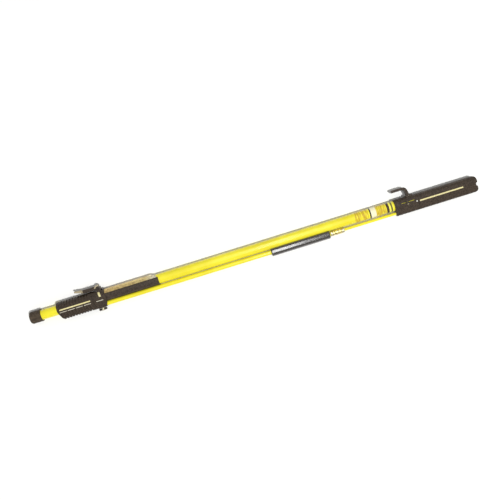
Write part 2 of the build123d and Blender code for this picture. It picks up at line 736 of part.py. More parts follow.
def rail_grip():
    grip = bar(GRIP_R, GRIP_START, GRIP_END, RAIL_Y)
    grip = fillet(grip.edges().group_by(Axis.X)[0] + grip.edges().group_by(Axis.X)[-1], GRIP_ROUND)
    grip -= bar(RAIL_R, GRIP_START - 1, GRIP_END + 1, RAIL_Y)
    return grip - bar(TUBE_R + LABEL_THICK + FREE, GRIP_START - 1, GRIP_END + 1)


def rail_ferrule():
    ring = pipe(COUPLING_BODY_R + COUPLING_RING_STEP, RAIL_R, COUPLING_START,
                COUPLING_START + COUPLING_CAP, RAIL_Y)
    return chamfer(ring.edges().group_by(Axis.X)[0].sort_by(SortBy.RADIUS)[-1], COUPLING_CHAMFER)


def collet_body():
    start = COUPLING_START + COUPLING_CAP
    rail_end = start + RAIL_IN_COUPLING
    body = bar(COUPLING_BODY_R, start, COUPLING_END, RAIL_Y)
    body -= bar(RAIL_R, start - 1, rail_end, RAIL_Y)
    return body - bar(ROD_R + RUNNING, start, COUPLING_END + 1, RAIL_Y)


def collet_cap():
    ring = pipe(COUPLING_BODY_R + COUPLING_RING_STEP, COUPLING_BODY_R, COUPLING_END - COUPLING_CAP,
                COUPLING_END, RAIL_Y)
    return chamfer(ring.edges().group_by(Axis.X)[-1].sort_by(SortBy.RADIUS)[-1], COUPLING_CHAMFER)


def collet_nut():
    x0 = COUPLING_START + COUPLING_CAP + FREE
    x1 = COUPLING_END - COUPLING_CAP - FREE
    nut = bar(COUPLING_NUT_R, x0, x1, RAIL_Y)
    nut = chamfer(nut.edges(), COUPLING_CHAMFER)
    return nut - bar(COUPLING_BODY_R + RUNNING, x0 - 1, x1 + 1, RAIL_Y)


# ---- lever and thumbscrew ---------------------------------------------------------


def tab_points():
    """Side outline of the thumb tab, which rises towards its tip."""
    tip = CAM_X - LEVER_REACH
    root = tip + TAB_LENGTH
    tip_low = HANDLE_R + TAB_LIFT
    return [(tip, tip_low), (tip, tip_low + TAB_THICK),
            (root, CAM_Y + LEVER_TOP), (root, HANDLE_R + TAB_ROOT_LIFT)]


def lever_tongue():
    """Core of the thumb tab, midway between its two faces."""
    (tip, tip_low), (_, tip_top), (root, root_top), (_, root_low) = tab_points()
    share = TONGUE_CORE_START / TAB_LENGTH
    start_mid = (tip_low + tip_top) / 2 * (1 - share) + (root_low + root_top) / 2 * share
    root_mid = (root_low + root_top) / 2
    x = tip + TONGUE_CORE_START
    half = TONGUE_CORE_THICK / 2
    points = [(x, start_mid - half), (x, start_mid + half), (root, root_mid + half), (root, root_mid - half)]
    return plate(points, -TONGUE_CORE_HALF, TONGUE_CORE_HALF)


def hub_sector(radius, start, stop):
    """Slice of a disc about the lever's pin, between two angles in degrees from +X."""
    reach = 2 * radius
    middle = radians((start + stop) / 2)
    corners = [(0, 0)] + [(reach * cos(a), reach * sin(a)) for a in
                          (radians(start), middle, radians(stop))]
    wedge = plate([(CAM_X + x, CAM_Y + y) for x, y in corners], -CAM_HALF_WIDTH, CAM_HALF_WIDTH)
    return wedge & peg_z(radius, CAM_X, CAM_Y, -CAM_HALF_WIDTH, CAM_HALF_WIDTH)


def cam_lever():
    low = HANDLE_R + SEAM + ARM_RISE
    start = CAM_X - LEVER_REACH + TAB_LENGTH
    arm = [(start, low), (start, CAM_Y + LEVER_TOP), (CAM_X - CAM_R / 2, CAM_Y + LEVER_TOP),
           (CAM_X, CAM_Y), (CAM_X - CAM_R / 2, low)]
    lever = plate(arm, -CAM_HALF_WIDTH, CAM_HALF_WIDTH)
    lever -= hub_sector(HUB_R + HUB_CAP, HUB_FROM, HUB_TO)
    lever += hub_sector(HUB_R, HUB_FROM, HUB_TO)
    lever += peg_z(CAM_R, CAM_X, CAM_Y - CAM_THROW, -CAM_HALF_WIDTH, CAM_HALF_WIDTH)
    lever += lever_tongue()
    return lever - peg_z(LEVER_PIN_R + RUNNING, CAM_X, CAM_Y, -FAR, FAR)


def hub_cap():
    """Pale band over the top of the lever's hub."""
    outer = hub_sector(HUB_R + HUB_CAP, HUB_FROM, HUB_TO)
    outer -= peg_z(HUB_R, CAM_X, CAM_Y, -FAR, FAR)
    return outer - peg_z(CAM_R, CAM_X, CAM_Y - CAM_THROW, -FAR, FAR)


def lever_tab():
    tab = plate(tab_points(), -TAB_HALF_WIDTH, TAB_HALF_WIDTH)
    tab = fillet(tab.edges().filter_by(Axis.Z).group_by(Axis.X)[0], TAB_ROUND)
    return tab - lever_tongue()


def thumb_hub():
    low = THUMB_TOP - THUMB_HUB_HEIGHT
    hub = peg_y(THUMB_HUB_R, THUMB_X, low, THUMB_TOP)
    hub = fillet(hub.edges().group_by(Axis.Y)[0], THUMB_EDGE)
    stud = peg_y(THUMB_STUD_R, THUMB_X, THUMB_TOP, RAIL_Y - RAIL_R - FREE / 2)
    return hub + stud - thumb_bar()


def thumb_bar():
    half = THUMB_BAR_LENGTH / 2
    y = THUMB_TOP - THUMB_HUB_HEIGHT / 2
    handle = bar(THUMB_BAR_R, THUMB_X - half, THUMB_X + half, y)
    return fillet(handle.edges(), 0.9 * THUMB_BAR_R)


def main():
    os.makedirs("parts", exist_ok=True)
    handle = handle_body()
    nodes = {
        "outer_tube": outer_tube(),
        "butt_cap": butt_cap(),
        "front_bush": front_bush(),
        "hook_collar": hook_collar(),
        "hanging_hook": hanging_hook(),
        "hook_pin": hook_pin(),
        "collar_screw": collar_screw(),
        "collar_rivets": collar_rivets(),
        "rod_bush": rod_bush(),
        "label_sleeve": label_sleeve(),
        "inner_tube": inner_tube(),
        "inner_bush": inner_bush(),
        "head_shell": head_shell(),
        "socket_liner": socket_liner(),
        "guide_rod": guide_rod(),
        "rod_tip": rod_tip(),
        "rod_pin": rod_pin(),
        "head_screws": head_screws(),
        "handle_front": handle_front(handle),
        "handle_back": handle_back(handle),
        "handle_screws": handle_screws(),
        "index_strips": index_strips(),
        "clamp_collar": clamp_collar(),
        "lever_pin": lever_pin(),
        "thumb_insert": thumb_insert(),
        "guide_sleeve": guide_sleeve(),
        "saddle_plate": saddle_plate(),
        "saddle_rivets": saddle_rivets(),
        "rail_tube": rail_tube(),
        "rail_grip": rail_grip(),
        "rail_ferrule": rail_ferrule(),
        "collet_body": collet_body(),
        "collet_cap": collet_cap(),
        "collet_nut": collet_nut(),
        "cam_lever": cam_lever(),
        "lever_tab": lever_tab(),
        "hub_cap": hub_cap(),
        "thumb_hub": thumb_hub(),
        "thumb_bar": thumb_bar(),
        "head_key": head_key(),
        "handle_key": handle_key(),
        "clamp_pad": clamp_pad(),
    }
    for name, shape in nodes.items():
        export_step(shape, f"parts/{name}.step")


main()
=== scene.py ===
import logging
import math
from dataclasses import dataclass, field
from enum import Enum
from typing import Iterable, Optional, Sequence

import bmesh
import bpy
from mathutils import Matrix, Vector


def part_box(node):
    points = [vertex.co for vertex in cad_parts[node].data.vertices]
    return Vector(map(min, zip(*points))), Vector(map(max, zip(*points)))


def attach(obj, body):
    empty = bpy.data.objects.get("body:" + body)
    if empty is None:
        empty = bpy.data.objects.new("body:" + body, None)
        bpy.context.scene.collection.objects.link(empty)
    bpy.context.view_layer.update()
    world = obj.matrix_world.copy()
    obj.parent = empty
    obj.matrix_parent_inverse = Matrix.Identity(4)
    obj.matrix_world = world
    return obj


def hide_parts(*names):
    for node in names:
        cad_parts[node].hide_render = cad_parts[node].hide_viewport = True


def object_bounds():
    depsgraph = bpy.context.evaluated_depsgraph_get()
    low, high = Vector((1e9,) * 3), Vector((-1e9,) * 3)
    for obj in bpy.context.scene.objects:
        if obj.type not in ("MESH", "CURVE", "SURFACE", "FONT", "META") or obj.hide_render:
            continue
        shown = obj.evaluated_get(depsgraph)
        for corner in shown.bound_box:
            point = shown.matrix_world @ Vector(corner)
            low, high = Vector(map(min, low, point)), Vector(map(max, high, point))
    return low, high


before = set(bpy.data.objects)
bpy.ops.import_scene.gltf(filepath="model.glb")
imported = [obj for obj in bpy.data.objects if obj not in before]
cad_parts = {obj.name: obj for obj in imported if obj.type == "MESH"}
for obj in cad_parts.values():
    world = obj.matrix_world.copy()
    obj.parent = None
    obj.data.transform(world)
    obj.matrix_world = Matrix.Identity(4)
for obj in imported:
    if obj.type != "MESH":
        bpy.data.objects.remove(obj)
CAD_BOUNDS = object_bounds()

LOG = logging.getLogger("pole")
MILLIMETRE = 0.001
MERGE = 1e-6
Profile = Sequence[tuple[float, float]]
ColourStops = Sequence[tuple[float, str]]
TUBE_YELLOW = "#F3E72C"
NO_INK, INKED = "#000000", "#FFFFFF"


def mm(value: float) -> float:
    """Returns millimetres as metres."""
    return value * MILLIMETRE


# ---------------------------------------------------------------------------
# Colours, shaders and finishes
# ---------------------------------------------------------------------------


def linear(code: str) -> tuple[float, float, float, float]:
    """Turns an sRGB hex colour into linear light.

    Args:
        code: A hash and six hex digits.

    Returns:
        Linear red, green and blue, and full opacity.
    """
    digits = code.lstrip("#")
    channels = (int(digits[k:k + 2], 16) / 255.0 for k in (0, 2, 4))
    red, green, blue = (
        c / 12.92 if c <= 0.04045 else ((c + 0.055) / 1.055) ** 2.4 for c in channels
    )
    return red, green, blue, 1.0


def per_metre(size_mm: float) -> float:
    """Returns the texture scale that repeats a pattern every size_mm."""
    return 1.0 / mm(size_mm)


def feed(tree: bpy.types.NodeTree, node: bpy.types.Node, inputs: dict) -> None:
    """Sets a node's input sockets.

    Args:
        tree: Node tree that holds the node.
        node: The node.
        inputs: Socket name or number to a value, or to the output socket that feeds it.
    """
    for socket, value in inputs.items():
        if isinstance(value, bpy.types.NodeSocket):
            tree.links.new(value, node.inputs[socket])
        else:
            node.inputs[socket].default_value = value


def add_node(
    tree: bpy.types.NodeTree, kind: str, inputs: Optional[dict] = None, **settings: object
) -> bpy.types.Node:
    """Adds one shader node with its settings and links.

    Args:
        tree: Node tree that takes the node.
        kind: Blender's node type.
        inputs: Its input sockets, as feed takes them.
        **settings: Properties set on the node itself.

    Returns:
        The new node.
    """
    node = tree.nodes.new(kind)
    for name, value in settings.items():
        setattr(node, name, value)
    feed(tree, node, inputs or {})
    return node


def set_ramp(node: bpy.types.Node, stops: ColourStops, mode: str = "LINEAR") -> None:
    """Fills a colour ramp.

    Args:
        node: The ColorRamp node.
        stops: Position and sRGB hex colour of each stop, in order.
        mode: Interpolation between the stops.
    """
    ramp = node.color_ramp
    ramp.interpolation = mode
    while len(ramp.elements) < len(stops):
        ramp.elements.new(1.0)
    for element, (position, colour) in zip(ramp.elements, stops):
        element.position = position
        element.color = linear(colour)


def share_along(
    tree: bpy.types.NodeTree, place: bpy.types.NodeSocket, low_x: float, high_x: float
) -> bpy.types.NodeSocket:
    """Measures how far along a piece each point lies.

    Args:
        tree: Node tree of the piece's material.
        place: Socket of object coordinates.
        low_x: Where the piece starts along the pole, in metres.
        high_x: Where it ends along the pole, in metres.

    Returns:
        The socket that gives the share of the piece's length.
    """
    split = add_node(tree, "ShaderNodeSeparateXYZ", {"Vector": place})
    share = add_node(tree, "ShaderNodeMapRange",
                     {"Value": split.outputs["X"], "From Min": low_x, "From Max": high_x})
    return share.outputs["Result"]


@dataclass(frozen=True)
class Finish:
    """A real material and how its surface was made."""

    name: str
    roughness: float

    def start(
        self,
    ) -> tuple[bpy.types.Material, bpy.types.NodeTree, bpy.types.Node, bpy.types.NodeSocket]:
        """Makes an empty material with a Principled shader.

        Returns:
            The material, its tree, its Principled node and the socket of object coordinates.
        """
        material = bpy.data.materials.new(self.name)
        material.use_nodes = True
        tree = material.node_tree
        surface = tree.nodes["Principled BSDF"]
        surface.inputs["Roughness"].default_value = self.roughness
        place = add_node(tree, "ShaderNodeTexCoord").outputs["Object"]
        return material, tree, surface, place

    def build(self) -> bpy.types.Material:
        """Returns the finished material."""
        raise NotImplementedError


@dataclass(frozen=True)
class PowderCoat(Finish):
    """Polyester powder coat on steel tube: saturated, glossy, with a faint orange peel."""

    colour: str = TUBE_YELLOW
    shade: str = "#E9DB20"
    peel_mm: float = 1.6
    cloud_mm: float = 60.0
    scuff_mm: float = 2.5
    scuff_stretch: float = 0.04

    def build(self) -> bpy.types.Material:
        """Returns the powder coat: cloudy colour, long fine scuffs and orange peel."""
        material, tree, surface, place = self.start()
        cloud = add_node(tree, "ShaderNodeTexNoise",
                         {"Vector": place, "Scale": per_metre(self.cloud_mm), "Detail": 3.0})
        tint = add_node(tree, "ShaderNodeValToRGB", {"Fac": cloud.outputs["Fac"]})
        set_ramp(tint, [(0.35, self.shade), (0.62, self.colour)])
        along = add_node(tree, "ShaderNodeMapping",
                         {"Vector": place, "Scale": (self.scuff_stretch, 1.0, 1.0)})
        scuff = add_node(tree, "ShaderNodeTexNoise",
                         {"Vector": along.outputs["Vector"], "Scale": per_metre(self.scuff_mm),
                          "Detail": 6.0, "Roughness": 0.7})
        rough = add_node(tree, "ShaderNodeMapRange",
                         {"Value": scuff.outputs["Fac"], "From Min": 0.3, "From Max": 0.75,
                          "To Min": self.roughness - 0.06, "To Max": self.roughness + 0.14})
        peel = add_node(tree, "ShaderNodeTexNoise",
                        {"Vector": place, "Scale": per_metre(self.peel_mm), "Detail": 1.0})
        bump = add_node(tree, "ShaderNodeBump",
                        {"Height": peel.outputs["Fac"], "Strength": 0.12, "Distance": mm(0.05)})
        feed(tree, surface, {"Base Color": tint.outputs["Color"],
                             "Roughness": rough.outputs["Result"], "Normal": bump.outputs["Normal"],
                             "Coat Weight": 0.25, "Coat Roughness": 0.12})
        return material


@dataclass(frozen=True)
class MouldedPlastic(Finish):
    """Injection-moulded nylon, ABS or acetal: a matt grain, handled until it is patchy.

    The grain is drawn coarser than a real one, so that it shows. Machined nylon and black oxide
    on steel have the same matt and patchy look.
    """

    colour: str = "#261D14"
    worn: str = "#4C4034"
    grain_mm: float = 0.55
    patch_mm: float = 3.2
    grain_depth_mm: float = 0.06
    sheen_level: float = 0.4

    def build(self) -> bpy.types.Material:
        """Returns the moulded plastic: fine grain, and patches where hands have polished it."""
        material, tree, surface, place = self.start()
        patch = add_node(tree, "ShaderNodeTexNoise",
                         {"Vector": place, "Scale": per_metre(self.patch_mm), "Detail": 5.0,
                          "Roughness": 0.65})
        tint = add_node(tree, "ShaderNodeValToRGB", {"Fac": patch.outputs["Fac"]})
        set_ramp(tint, [(0.36, self.colour), (0.66, self.worn)])
        rough = add_node(tree, "ShaderNodeMapRange",
                         {"Value": patch.outputs["Fac"], "From Min": 0.3, "From Max": 0.7,
                          "To Min": self.roughness + 0.08, "To Max": self.roughness - 0.08})
        grain = add_node(tree, "ShaderNodeTexVoronoi",
                         {"Vector": place, "Scale": per_metre(self.grain_mm)})
        bump = add_node(tree, "ShaderNodeBump",
                        {"Height": grain.outputs["Distance"], "Strength": 0.35,
                         "Distance": mm(self.grain_depth_mm)})
        feed(tree, surface, {"Base Color": tint.outputs["Color"],
                             "Roughness": rough.outputs["Result"], "Normal": bump.outputs["Normal"],
                             "Specular IOR Level": self.sheen_level})
        return material


@dataclass(frozen=True)
class Rubber(Finish):
    """Compression-moulded rubber: dull, brownish, with chalky bloom."""

    colour: str = "#40362B"
    bloom: str = "#5C5041"
    bloom_mm: float = 6.0
    pore_mm: float = 0.8

    def build(self) -> bpy.types.Material:
        """Returns the rubber: bloom in patches and fine pores."""
        material, tree, surface, place = self.start()
        bloom = add_node(tree, "ShaderNodeTexNoise",
                         {"Vector": place, "Scale": per_metre(self.bloom_mm), "Detail": 6.0})
        tint = add_node(tree, "ShaderNodeValToRGB", {"Fac": bloom.outputs["Fac"]})
        set_ramp(tint, [(0.4, self.colour), (0.75, self.bloom)])
        pore = add_node(tree, "ShaderNodeTexNoise",
                        {"Vector": place, "Scale": per_metre(self.pore_mm), "Detail": 2.0})
        bump = add_node(tree, "ShaderNodeBump",
                        {"Height": pore.outputs["Fac"], "Strength": 0.4, "Distance": mm(0.1)})
        feed(tree, surface, {"Base Color": tint.outputs["Color"], "Normal": bump.outputs["Normal"],
                             "Specular IOR Level": 0.35})
        return material


@dataclass(frozen=True)
class GlossVinyl(Finish):
    """Dipped vinyl grip: a wet-looking black skin with slow waves in it."""

    colour: str = "#191716"
    wave_mm: float = 9.0
    dust_mm: float = 1.6
    dust: str = "#4A4239"

    def build(self) -> bpy.types.Material:
        """Returns the vinyl: deep black under a clear gloss, gently uneven, with dust on it."""
        material, tree, surface, place = self.start()
        wave = add_node(tree, "ShaderNodeTexNoise",
                        {"Vector": place, "Scale": per_metre(self.wave_mm), "Detail": 2.0})
        bump = add_node(tree, "ShaderNodeBump",
                        {"Height": wave.outputs["Fac"], "Strength": 0.25, "Distance": mm(0.25)})
        smear = add_node(tree, "ShaderNodeMapRange",
                         {"Value": wave.outputs["Fac"], "From Min": 0.35, "From Max": 0.7,
                          "To Min": self.roughness, "To Max": self.roughness + 0.12})
        dust = add_node(tree, "ShaderNodeTexNoise",
                        {"Vector": place, "Scale": per_metre(self.dust_mm), "Detail": 4.0})
        tint = add_node(tree, "ShaderNodeValToRGB", {"Fac": dust.outputs["Fac"]})
        set_ramp(tint, [(0.42, self.colour), (0.66, self.dust)])
        feed(tree, surface, {"Normal": bump.outputs["Normal"], "Roughness": smear.outputs["Result"],
                             "Base Color": tint.outputs["Color"], "Specular IOR Level": 0.9,
                             "Coat Weight": 1.0, "Coat Roughness": 0.12})
        return material


@dataclass(frozen=True)
class TurnedMetal(Finish):
    """Metal turned on a lathe: tool rings across its axis, and a little tarnish.

    The rings are drawn coarser than real ones, so that they show.
    """

    colour: str = "#FAEFB0"
    tarnish: str = "#D8B65E"
    ring_mm: float = 0.7
    patch_mm: float = 5.0

    def build(self) -> bpy.types.Material:
        """Returns the turned metal: tool rings and patchy tarnish."""
        material, tree, surface, place = self.start()
        patch = add_node(tree, "ShaderNodeTexNoise",
                         {"Vector": place, "Scale": per_metre(self.patch_mm), "Detail": 4.0})
        tint = add_node(tree, "ShaderNodeValToRGB", {"Fac": patch.outputs["Fac"]})
        set_ramp(tint, [(0.35, self.tarnish), (0.6, self.colour)])
        rings = add_node(tree, "ShaderNodeTexWave",
                         {"Vector": place, "Scale": per_metre(self.ring_mm) / math.tau,
                          "Distortion": 0.4}, bands_direction="X")
        bump = add_node(tree, "ShaderNodeBump",
                        {"Height": rings.outputs["Fac"], "Strength": 0.25, "Distance": mm(0.03)})
        feed(tree, surface, {"Base Color": tint.outputs["Color"], "Normal": bump.outputs["Normal"],
                             "Metallic": 1.0})
        return material


@dataclass(frozen=True)
class ChromatedZinc(Finish):
    """Yellow chromate over zinc plate: tan, drifting to pale straw towards the head."""

    low_x: float
    high_x: float
    near: str = "#D9BD7A"
    middle: str = "#E2CD8C"
    far: str = "#F2EBCB"
    bloom: str = "#8F6F4E"
    bloom_mm: float = 6.0

    def build(self) -> bpy.types.Material:
        """Returns the plated sheet: a slow change of tint along it, and brown bloom."""
        material, tree, surface, place = self.start()
        share = share_along(tree, place, self.low_x, self.high_x)
        along = add_node(tree, "ShaderNodeValToRGB", {"Fac": share})
        set_ramp(along, [(0.0, self.near), (0.78, self.middle), (0.94, self.far)])
        bloom = add_node(tree, "ShaderNodeTexNoise",
                         {"Vector": place, "Scale": per_metre(self.bloom_mm), "Detail": 4.0})
        amount = add_node(tree, "ShaderNodeMapRange",
                          {"Value": bloom.outputs["Fac"], "From Min": 0.46, "From Max": 0.66,
                           "To Max": 0.6})
        tint = add_node(tree, "ShaderNodeMix",
                        {"Factor": amount.outputs["Result"], "A": along.outputs["Color"],
                         "B": linear(self.bloom)}, data_type="RGBA")
        feed(tree, surface, {"Base Color": tint.outputs["Result"], "Metallic": 0.55})
        return material


@dataclass(frozen=True)
class PrintedFilm(Finish):
    """Shrink film on the tube, with plain printed bands across it and no lettering.

    The bands and the zones that carry streaks of ink start at shares of the film's length.
    """

    low_x: float
    high_x: float
    bands: ColourStops = (
        (0.0, TUBE_YELLOW), (0.391, "#2C2A12"), (0.428, "#F4EEC6"), (0.561, "#EBDD30"),
        (0.83, "#3A2410"), (0.892, "#F3EA58"), (0.938, "#5E5A1C"), (0.977, "#F3EA58"),
    )
    zones: ColourStops = (
        (0.0, NO_INK), (0.014, INKED), (0.36, NO_INK), (0.561, INKED), (0.82, NO_INK),
    )
    ink: str = "#C29A1E"
    streak_mm: float = 2.2
    streak_stretch: float = 0.12

    def build(self) -> bpy.types.Material:
        """Returns the film: hard-edged bands with streaks of ink, under a slight gloss."""
        material, tree, surface, place = self.start()
        share = share_along(tree, place, self.low_x, self.high_x)
        print_bands = add_node(tree, "ShaderNodeValToRGB", {"Fac": share})
        set_ramp(print_bands, self.bands, "CONSTANT")
        across = add_node(tree, "ShaderNodeMapping",
                          {"Vector": place, "Scale": (1.0, self.streak_stretch, self.streak_stretch)})
        streak = add_node(tree, "ShaderNodeTexNoise",
                          {"Vector": across.outputs["Vector"], "Scale": per_metre(self.streak_mm),
                           "Detail": 3.0})
        inked = add_node(tree, "ShaderNodeMapRange",
                         {"Value": streak.outputs["Fac"], "From Min": 0.4, "From Max": 0.56,
                          "To Max": 0.85})
        zones = add_node(tree, "ShaderNodeValToRGB", {"Fac": share})
        set_ramp(zones, self.zones, "CONSTANT")
        amount = add_node(tree, "ShaderNodeMath",
                          {0: inked.outputs["Result"], 1: zones.outputs["Color"]},
                          operation="MULTIPLY")
        print_mix = add_node(tree, "ShaderNodeMix",
                             {"Factor": amount.outputs["Value"], "A": print_bands.outputs["Color"],
                              "B": linear(self.ink)}, data_type="RGBA")
        feed(tree, surface, {"Base Color": print_mix.outputs["Result"], "Coat Weight": 0.3,
                             "Coat Roughness": 0.15})
        return material


class Slot(Enum):
    """The record's material slots."""

    YELLOW = "yellow_tube"
    INNER = "inner_tube"
    ROD = "rod_steel"
    RUBBER = "cap_rubber"
    BLACK = "black_plastic"
    GRIP = "grip_gloss"
    BEIGE = "beige_tab"
    TAN = "tan_plate"
    BRASS = "brass"
    STEEL = "steel"
    WHITE = "white_rivet"
    GREY = "grey_strip"
    FILM = "label_film"
    NYLON = "bush_nylon"
    # Pale strips in the slits and the window: painted light standing for the lit yellow tube seen
    # through them.
    PALE = "pale_key"
    DARK_STEEL = "black_steel"


# ---------------------------------------------------------------------------
# Mesh work
# ---------------------------------------------------------------------------

X_AXIS = Vector((1.0, 0.0, 0.0))
Z_AXIS = Vector((0.0, 0.0, 1.0))
RUNNING_GAP = mm(0.08)


def box_of(node: str) -> tuple[Vector, Vector]:
    """Returns a CAD node's lowest and highest corners, in metres."""
    low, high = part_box(node)
    return Vector(low), Vector(high)


def radius_of(node: str) -> float:
    """Returns half of a CAD node's size across the pole, which is a turned node's radius."""
    low, high = box_of(node)
    return (high.y - low.y) / 2


def length_of(node: str) -> float:
    """Returns a CAD node's length along the pole."""
    low, high = box_of(node)
    return high.x - low.x


def on_axis(node: str) -> Vector:
    """Returns the point of the pole's axis where a CAD node starts, towards the butt."""
    return Vector((box_of(node)[0].x, 0.0, 0.0))


def beside_axis(node: str) -> Vector:
    """Returns the point of its own axis where a CAD node beside the pole's axis starts."""
    low, high = box_of(node)
    return Vector((low.x, (low.y + high.y) / 2, (low.z + high.z) / 2))


def lathe(
    profile: Profile, centre: Vector, axis: Vector, steps: int, wall: bool = False
) -> bmesh.types.BMesh:
    """Spins an outline about an axis.

    Args:
        profile: Distance along the axis from centre, and radius, of each point, in metres.
        centre: A point on the axis.
        axis: Unit direction of the axis.
        steps: Segments round the axis.
        wall: True when the outline closes on itself, as the section of a tube does.

    Returns:
        A closed mesh with its faces outwards.
    """
    side = axis.orthogonal().normalized()
    form = bmesh.new()
    points = [form.verts.new(centre + axis * along + side * radius) for along, radius in profile]
    edges = [form.edges.new(pair) for pair in zip(points, points[1:])]
    if wall:
        edges.append(form.edges.new((points[-1], points[0])))
    bmesh.ops.spin(form, geom=points + edges, cent=centre, axis=axis, dvec=(0, 0, 0),
                   angle=math.tau, steps=steps, use_merge=True, use_normal_flip=False,
                   use_duplicate=False)
    bmesh.ops.remove_doubles(form, verts=form.verts, dist=MERGE)
    bmesh.ops.recalc_face_normals(form, faces=form.faces)
    return form


def soften(form: bmesh.types.BMesh, width: float, segments: int = 2, angle: float = 30.0) -> None:
    """Bevels every edge sharper than an angle.

    Args:
        form: Mesh to change.
        width: Bevel width in metres.
        segments: Steps across each bevel.
        angle: Smallest turn between two faces, in degrees, that counts as an edge.
    """
    limit = math.radians(angle)
    sharp = [e for e in form.edges if e.is_manifold and e.calc_face_angle(0.0) > limit]
    bmesh.ops.bevel(form, geom=sharp, offset=width, offset_type="OFFSET", affect="EDGES",
                    segments=segments, profile=0.5, material=-1, clamp_overlap=True)


def pipe(node: str, wall: float, start: Vector, steps: int) -> bmesh.types.BMesh:
    """Draws a straight tube as long and as wide as a CAD node.

    Args:
        node: CAD node that gives the length and the radius.
        wall: Thickness of the tube's wall, in metres.
        start: The point of its axis where it starts.
        steps: Segments round the tube.

    Returns:
        The tube's mesh.
    """
    length, outer = length_of(node), radius_of(node)
    inner = outer - wall
    section = [(0.0, outer), (length, outer), (length, inner), (0.0, inner)]
    return lathe(section, start, X_AXIS, steps, wall=True)


def quarter_round(radius: float, steps: int) -> list[tuple[float, float]]:
    """Returns a quarter round that rises from the axis to its full radius.

    Args:
        radius: Radius of the round.
        steps: Number of points on it, without the one on the axis.

    Returns:
        Distance along the axis, and radius, of each point.
    """
    turns = [math.pi / 2 * k / steps for k in range(1, steps + 1)]
    return [(radius * (1 - math.cos(turn)), radius * math.sin(turn)) for turn in turns]


def carve(form: bmesh.types.BMesh, cutter: bmesh.types.BMesh) -> bmesh.types.BMesh:
    """Cuts one closed mesh out of another.

    Args:
        form: Mesh that is cut; it is freed.
        cutter: Mesh that is taken away; it is freed.

    Returns:
        The cut mesh.
    """
    made = []
    for name, source in (("stock", form), ("cutter", cutter)):
        mesh = bpy.data.meshes.new(name)
        source.to_mesh(mesh)
        source.free()
        thing = bpy.data.objects.new(name, mesh)
        bpy.context.scene.collection.objects.link(thing)
        made.append(thing)
    stock, knife = made
    cut = stock.modifiers.new("cut", "BOOLEAN")
    cut.operation = "DIFFERENCE"
    cut.solver = "EXACT"
    cut.object = knife
    graph = bpy.context.evaluated_depsgraph_get()
    result = bpy.data.meshes.new_from_object(stock.evaluated_get(graph))
    shape = bmesh.new()
    shape.from_mesh(result)
    bpy.data.meshes.remove(result)
    for thing in made:
        mesh = thing.data
        bpy.data.objects.remove(thing)
        bpy.data.meshes.remove(mesh)
    bmesh.ops.remove_doubles(shape, verts=shape.verts, dist=MERGE)
    return shape


def block(low: Vector, high: Vector) -> bmesh.types.BMesh:
    """Returns a box between two corners."""
    form = bmesh.new()
    size = high - low
    place = Matrix.Translation((low + high) / 2) @ Matrix.Diagonal((*size, 1.0))
    bmesh.ops.create_cube(form, size=1.0, matrix=place)
    return form


def join(forms: Iterable[bmesh.types.BMesh]) -> bmesh.types.BMesh:
    """Puts several meshes in one, freeing them.

    Args:
        forms: Meshes to put together.

    Returns:
        One mesh that holds them all.
    """
    whole = bmesh.new()
    for form in forms:
        mesh = bpy.data.meshes.new("loose")
        form.to_mesh(mesh)
        form.free()
        whole.from_mesh(mesh)
        bpy.data.meshes.remove(mesh)
    return whole


def copy_of(node: str, bevel: float, segments: int = 2, flat: float = 0.4) -> bmesh.types.BMesh:
    """Takes a CAD node's exact shape and breaks its edges as a mould or a file would.

    Args:
        node: CAD node to copy.
        bevel: Width of the broken edges in metres.
        segments: Steps across each broken edge.
        flat: Facets that meet within this many degrees are joined first.

    Returns:
        The copied mesh, merged and softened.
    """
    form = bmesh.new()
    form.from_mesh(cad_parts[node].data)
    bmesh.ops.remove_doubles(form, verts=form.verts, dist=MERGE)
    bmesh.ops.dissolve_limit(form, angle_limit=math.radians(flat), use_dissolve_boundaries=False,
                             verts=form.verts, edges=form.edges, delimit={"NORMAL"})
    soften(form, bevel, segments)
    return form


def knurl(form: bmesh.types.BMesh, centre: Vector, axis: Vector, teeth: int, low: float,
          depth: float) -> None:
    """Presses straight teeth into the rim of a turned piece that has two steps for each tooth.

    Args:
        form: The turned piece.
        centre: A point on its axis.
        axis: Unit direction of the axis.
        teeth: Number of teeth round the rim.
        low: Radius beyond which the rim is toothed.
        depth: Depth of each tooth.
    """
    side = axis.orthogonal().normalized()
    up = axis.cross(side)
    for vert in form.verts:
        arm = vert.co - centre
        across, above = arm.dot(side), arm.dot(up)
        reach = math.hypot(across, above)
        step = round(math.atan2(above, across) / math.tau * teeth * 2)
        if reach > low and step % 2:
            out = (side * across + up * above) / reach
            bmesh.ops.translate(form, verts=[vert], vec=-out * depth)


def groove_out(form: bmesh.types.BMesh, low: Vector, high: Vector, edge: float) -> bmesh.types.BMesh:
    """Cuts one soft-edged box out of a mesh.

    Args:
        form: Mesh that is cut; it is freed.
        low: The box's lowest corner.
        high: The box's highest corner.
        edge: Bevel on the box.

    Returns:
        The cut mesh.
    """
    cutter = block(low, high)
    soften(cutter, edge)
    return carve(form, cutter)


